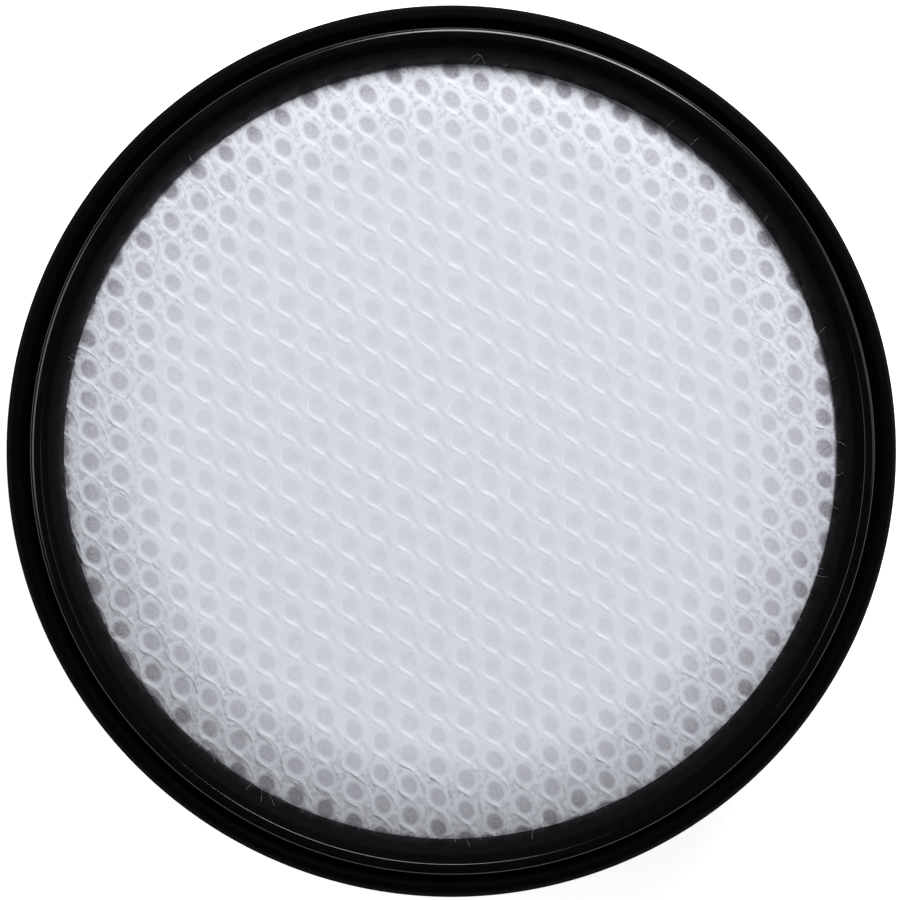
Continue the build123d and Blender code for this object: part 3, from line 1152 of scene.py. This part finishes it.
class FILTER_OT_stage(bpy.types.Operator):
    """Sets the floor, the lamps and the camera"""
    bl_idname = "cartridge_filter.stage"
    bl_label = "Stage"

    def execute(self, context):
        settings = context.scene.filter_stage
        self.floor(context, settings)
        self.room(context, settings)
        for name, azimuth, elevation, distance, size, power in (
            ("key_lamp", settings.key_azimuth, settings.key_elevation, settings.key_distance,
             settings.key_size, settings.key_power),
            ("left_fill_lamp", settings.left_fill_azimuth, settings.left_fill_elevation,
             settings.fill_distance, settings.fill_size, settings.left_fill_power),
            ("right_fill_lamp", settings.right_fill_azimuth, settings.right_fill_elevation,
             settings.fill_distance, settings.fill_size, settings.right_fill_power),
        ):
            flat = math.cos(elevation)
            away = Vector((flat * math.cos(azimuth), flat * math.sin(azimuth), math.sin(elevation)))
            self.lamp(context, name, away * distance, size, power)
        camera = bpy.data.cameras.new("camera")
        camera.lens = camera.sensor_width * settings.camera_distance / settings.view_width
        camera.clip_end = 10.0
        view = bpy.data.objects.new("camera", camera)
        tilt = settings.camera_tilt
        away = Vector((-math.sin(tilt), 0.0, math.cos(tilt)))
        view.location = Vector(settings.camera_aim) + settings.camera_distance * away
        view.rotation_euler = (0.0, -tilt, 0.0)
        context.scene.collection.objects.link(view)
        context.scene.camera = view
        context.scene.view_settings.view_transform = "Standard"
        return {"FINISHED"}

    def lamp(self, context, name, spot, size, power):
        """A square soft lamp that looks at the filter."""
        data = bpy.data.lights.new(name, "AREA")
        data.size = size
        data.energy = power
        piece = bpy.data.objects.new(name, data)
        piece.location = spot
        piece.rotation_euler = (LAMP_AIM - spot).to_track_quat("-Z", "Y").to_euler()
        context.scene.collection.objects.link(piece)

    def floor(self, context, settings):
        """A wide pale floor that stays white to the lens and in gloss, and takes the filter's shadow."""
        half = 6.0
        mesh = bpy.data.meshes.new("floor")
        mesh.from_pydata([(-half, -half, 0), (half, -half, 0), (half, half, 0), (-half, half, 0)],
                         [], [(0, 1, 2, 3)])
        piece = bpy.data.objects.new("floor", mesh)
        context.scene.collection.objects.link(piece)
        material = bpy.data.materials.new("pale_floor")
        material.use_nodes = True
        tree = material.node_tree
        tree.nodes.clear()
        path = tree.nodes.new("ShaderNodeLightPath")
        seen = path.outputs["Is Camera Ray"]
        for other in ("Is Glossy Ray", "Is Transmission Ray"):
            seen = largest(tree, seen, path.outputs[other])
        matte = tree.nodes.new("ShaderNodeBsdfDiffuse")
        matte.inputs["Color"].default_value = (*settings.floor, 1.0)
        glow = tree.nodes.new("ShaderNodeEmission")
        glow.inputs["Color"].default_value = (settings.glow, settings.glow, settings.glow, 1.0)
        tree.links.new(seen, glow.inputs["Strength"])
        both = tree.nodes.new("ShaderNodeAddShader")
        tree.links.new(matte.outputs[0], both.inputs[0])
        tree.links.new(glow.outputs[0], both.inputs[1])
        out = tree.nodes.new("ShaderNodeOutputMaterial")
        tree.links.new(both.outputs[0], out.inputs["Surface"])
        mesh.materials.append(material)

    def room(self, context, settings):
        """A room that is white round the horizon and dim overhead."""
        world = bpy.data.worlds.new("room")
        context.scene.world = world
        world.use_nodes = True
        tree = world.node_tree
        tree.nodes.clear()
        place = tree.nodes.new("ShaderNodeTexCoord")
        parts = tree.nodes.new("ShaderNodeSeparateXYZ")
        tree.links.new(place.outputs["Generated"], parts.inputs[0])
        white, dim = HORIZON
        tones = [(height, (tone, tone, tone)) for height, tone in
                 ((0.0, 1.0), (white, 1.0), (dim, settings.room))]
        sky = tree.nodes.new("ShaderNodeBackground")
        tree.links.new(ramp(tree, parts.outputs["Z"], tones), sky.inputs["Color"])
        out = tree.nodes.new("ShaderNodeOutputWorld")
        tree.links.new(sky.outputs[0], out.inputs["Surface"])


class FILTER_PT_panel(bpy.types.Panel):
    """Lists the filter's pieces"""
    bl_idname = "FILTER_PT_panel"
    bl_label = "Cartridge Filter"
    bl_space_type = "VIEW_3D"
    bl_region_type = "UI"
    bl_category = "Filter"

    def draw(self, context):
        for operator in OPERATORS:
            self.layout.operator(operator.bl_idname)


SETTINGS = {
    "filter_frame": FrameSettings,
    "filter_seal": SealSettings,
    "filter_knit": KnitSettings,
    "filter_pleats": PleatSettings,
    "filter_grille": GrilleSettings,
    "filter_stage": StageSettings,
}
OPERATORS = (FILTER_OT_stage, FILTER_OT_frame, FILTER_OT_seal, FILTER_OT_grille, FILTER_OT_pleats,
             FILTER_OT_knit)


def register():
    """Makes the settings, the operators and the panel known."""
    for name, group in SETTINGS.items():
        bpy.utils.register_class(group)
        setattr(bpy.types.Scene, name, PointerProperty(type=group))
    for operator in OPERATORS:
        bpy.utils.register_class(operator)
    bpy.utils.register_class(FILTER_PT_panel)


def unregister():
    """Takes them away again."""
    bpy.utils.unregister_class(FILTER_PT_panel)
    for operator in reversed(OPERATORS):
        bpy.utils.unregister_class(operator)
    for name, group in reversed(SETTINGS.items()):
        delattr(bpy.types.Scene, name)
        bpy.utils.unregister_class(group)


def main():
    """Makes the whole filter."""
    register()
    bpy.ops.cartridge_filter.stage()
    bpy.ops.cartridge_filter.frame()
    bpy.ops.cartridge_filter.seal()
    bpy.ops.cartridge_filter.grille()
    bpy.ops.cartridge_filter.pleats()
    bpy.ops.cartridge_filter.knit()


if __name__ == "__main__":
    main()
